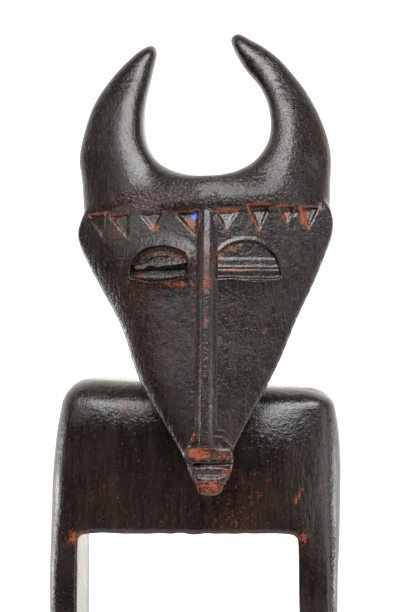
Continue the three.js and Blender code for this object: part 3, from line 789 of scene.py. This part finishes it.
def darkPatina():
    wood = bpy.data.materials.new("darkPatina")
    wood.use_nodes = True
    nodes, links = wood.node_tree.nodes, wood.node_tree.links
    surface = nodes["Principled BSDF"]
    place = nodes.new("ShaderNodeTexCoord").outputs["Object"]

    def noiseOf(scale, detail, roughness=0.55, vector=place):
        texture = nodes.new("ShaderNodeTexNoise")
        texture.inputs["Scale"].default_value = scale
        texture.inputs["Detail"].default_value = detail
        texture.inputs["Roughness"].default_value = roughness
        links.new(vector, texture.inputs["Vector"])
        return texture.outputs["Fac"]

    def work(operation, first, second=None, third=None):
        step = nodes.new("ShaderNodeMath")
        step.operation = operation
        for socket, value in zip(step.inputs, (first, second, third)):
            if isinstance(value, (int, float)):
                socket.default_value = value
            elif value is not None:
                links.new(value, socket)
        return step.outputs[0]

    def between(value, low, high, toLow=0.0, toHigh=1.0):
        remap = nodes.new("ShaderNodeMapRange")
        remap.interpolation_type = "SMOOTHSTEP"
        links.new(value, remap.inputs["Value"])
        for name, number in (("From Min", low), ("From Max", high), ("To Min", toLow), ("To Max", toHigh)):
            remap.inputs[name].default_value = number
        return remap.outputs["Result"]

    def blend(amount, first, second):
        mix = nodes.new("ShaderNodeMix")
        mix.data_type = "RGBA"
        links.new(amount, mix.inputs["Factor"])
        for socket, value in ((mix.inputs["A"], first), (mix.inputs["B"], second)):
            if isinstance(value, tuple):
                socket.default_value = value
            else:
                links.new(value, socket)
        return mix.outputs["Result"]

    def stored(name):
        layer = nodes.new("ShaderNodeAttribute")
        layer.attribute_name = name
        return layer.outputs["Fac"]

    def alongGrain(scale):
        stretched = nodes.new("ShaderNodeMapping")
        stretched.inputs["Scale"].default_value = scale
        links.new(place, stretched.inputs["Vector"])
        return stretched.outputs["Vector"]

    fibre = noiseOf(1, 3, 0.6, alongGrain(patina["fibre"]))
    streak = noiseOf(1, 3, 0.6, alongGrain(patina["streaks"]))
    blotch = noiseOf(patina["blotches"], 4)
    pore = noiseOf(patina["pores"], 2, 0.6)
    peel = noiseOf(patina["peel"], 3, 0.6)
    pebble = work("MULTIPLY", noiseOf(patina["pebbles"], 2, 0.6), stored("grain"))

    speckle = work("MULTIPLY_ADD", pore, 1.9, work("MULTIPLY_ADD", fibre, 0.9, -1.4))
    # worn carries the rubbed spots and also the painted reflection beside and below the chin
    worn = work("ADD", stored("wearAndSheen"), speckle)
    brownness = work("MULTIPLY_ADD", streak, 0.6, work("MULTIPLY", blotch, 0.6))
    brownness = work("MULTIPLY_ADD", fibre, 0.45, brownness)
    colour = blend(between(brownness, 0.62, 1.05), patina["black"], patina["brown"])
    colour = blend(between(worn, 0.18, 0.42), colour, patina["redBrown"])
    colour = blend(between(worn, 0.42, 0.72), colour, patina["rawWood"])
    colour = blend(between(stored("pigment"), 0.35, 0.6), colour, patina["blue"])
    links.new(colour, surface.inputs["Base Color"])

    rough = work("MULTIPLY_ADD", blotch, 0.16, work("MULTIPLY_ADD", streak, 0.12, patina["gloss"] - 0.14))
    rough = work("ADD", rough, between(worn, 0.2, 0.7, 0.0, 0.22))
    links.new(rough, surface.inputs["Roughness"])
    surface.inputs["Coat Roughness"].default_value = 0.17
    links.new(between(blotch, 0.35, 0.65, 0.3, 0.1), surface.inputs["Coat Weight"])

    height = work("MULTIPLY_ADD", fibre, 0.35, work("MULTIPLY", peel, 0.5))
    height = work("MULTIPLY_ADD", pore, 0.2, height)
    height = work("MULTIPLY_ADD", pebble, 1.3, height)
    bump = nodes.new("ShaderNodeBump")
    bump.inputs["Strength"].default_value = 0.9
    bump.inputs["Distance"].default_value = 0.0003
    links.new(height, bump.inputs["Height"])
    links.new(bump.outputs["Normal"], surface.inputs["Normal"])
    return wood


carving.data.materials.append(darkPatina())
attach(carving, "root")
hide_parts("carved_pulley")


# Studio

view = {
    "distance": 520,
    "turn": 3.0,  # degrees round to the right of the picture
    "aim": (1.5, 6.6, 112.4),
    "shown": 131,  # height that the picture takes in at that distance
}

light = {
    "boxes": {
        "key": {"at": (50, -560, 640), "size": (680, 320), "power": 8.0},
        "right": {"at": (600, -400, 90), "size": (300, 560), "power": 1.5},
        "left": {"at": (-430, -480, 450), "size": (300, 360), "power": 0.8},
        "leftStrip": {"at": (-560, 130, 35), "size": (170, 90), "power": 0.7},
        "rightStrip": {"at": (560, 130, 35), "size": (170, 90), "power": 0.7},
    },
    "aim": (0, 0, 115),
    "front": 0.03,
    "behind": 1.8,
    "warm": (1, 0.96, 0.9, 1),
    "floor": {"middleY": 90, "radius": 250, "tone": (0.80, 0.79, 0.77, 1)},
}


def studio():
    scene = bpy.context.scene
    turn = math.radians(view["turn"])
    ahead = Vector((-math.sin(turn), math.cos(turn), 0))
    lens = bpy.data.cameras.new("camera")
    lens.sensor_width = 36
    lens.lens = lens.sensor_width * view["distance"] / view["shown"]
    camera = bpy.data.objects.new("camera", lens)
    camera.location = (Vector(view["aim"]) - ahead * view["distance"]) * mm
    camera.rotation_euler = ahead.to_track_quat("-Z", "Y").to_euler()
    scene.collection.objects.link(camera)
    scene.camera = camera
    scene.view_settings.view_transform = "Standard"

    for name, box in light["boxes"].items():
        lamp = bpy.data.lights.new(name + "Softbox", "AREA")
        lamp.shape = "RECTANGLE"
        lamp.size, lamp.size_y = box["size"][0] * mm, box["size"][1] * mm
        lamp.energy = box["power"]
        holder = bpy.data.objects.new(name + "Softbox", lamp)
        holder.location = Vector(box["at"]) * mm
        towards = Vector(light["aim"]) - Vector(box["at"])
        holder.rotation_euler = towards.to_track_quat("-Z", "Y").to_euler()
        scene.collection.objects.link(holder)

    shape = bmesh.new()
    bmesh.ops.create_circle(shape, cap_ends=True, radius=light["floor"]["radius"] * mm, segments=96)
    bmesh.ops.translate(shape, vec=(0, light["floor"]["middleY"] * mm, 0), verts=shape.verts)
    floor = newObject("floor", shape)
    paper = bpy.data.materials.new("palePaper")
    paper.use_nodes = True
    paper.node_tree.nodes["Principled BSDF"].inputs["Base Color"].default_value = light["floor"]["tone"]
    paper.node_tree.nodes["Principled BSDF"].inputs["Roughness"].default_value = 0.9
    floor.data.materials.append(paper)


def backdrop():  # white behind the carving and dimmer in front of it
    world = bpy.data.worlds.new("backdrop")
    world.use_nodes = True
    nodes, links = world.node_tree.nodes, world.node_tree.links
    place = nodes.new("ShaderNodeTexCoord")
    split = nodes.new("ShaderNodeSeparateXYZ")
    links.new(place.outputs["Generated"], split.inputs["Vector"])
    fade = nodes.new("ShaderNodeMapRange")
    fade.inputs["From Min"].default_value = -0.1
    fade.inputs["From Max"].default_value = 0.35
    fade.inputs["To Min"].default_value = light["front"]
    fade.inputs["To Max"].default_value = light["behind"]
    links.new(split.outputs["Y"], fade.inputs["Value"])
    seen = nodes.new("ShaderNodeLightPath")
    brighter = nodes.new("ShaderNodeMath")
    brighter.operation = "MAXIMUM"
    links.new(fade.outputs["Result"], brighter.inputs[0])
    links.new(seen.outputs["Is Camera Ray"], brighter.inputs[1])
    links.new(brighter.outputs["Value"], nodes["Background"].inputs["Strength"])
    tint = nodes.new("ShaderNodeMix")
    tint.data_type = "RGBA"
    tint.inputs["A"].default_value = light["warm"]
    tint.inputs["B"].default_value = (1, 1, 1, 1)
    links.new(seen.outputs["Is Camera Ray"], tint.inputs["Factor"])
    links.new(tint.outputs["Result"], nodes["Background"].inputs["Color"])
    bpy.context.scene.world = world


studio()
backdrop()
print("studio set")
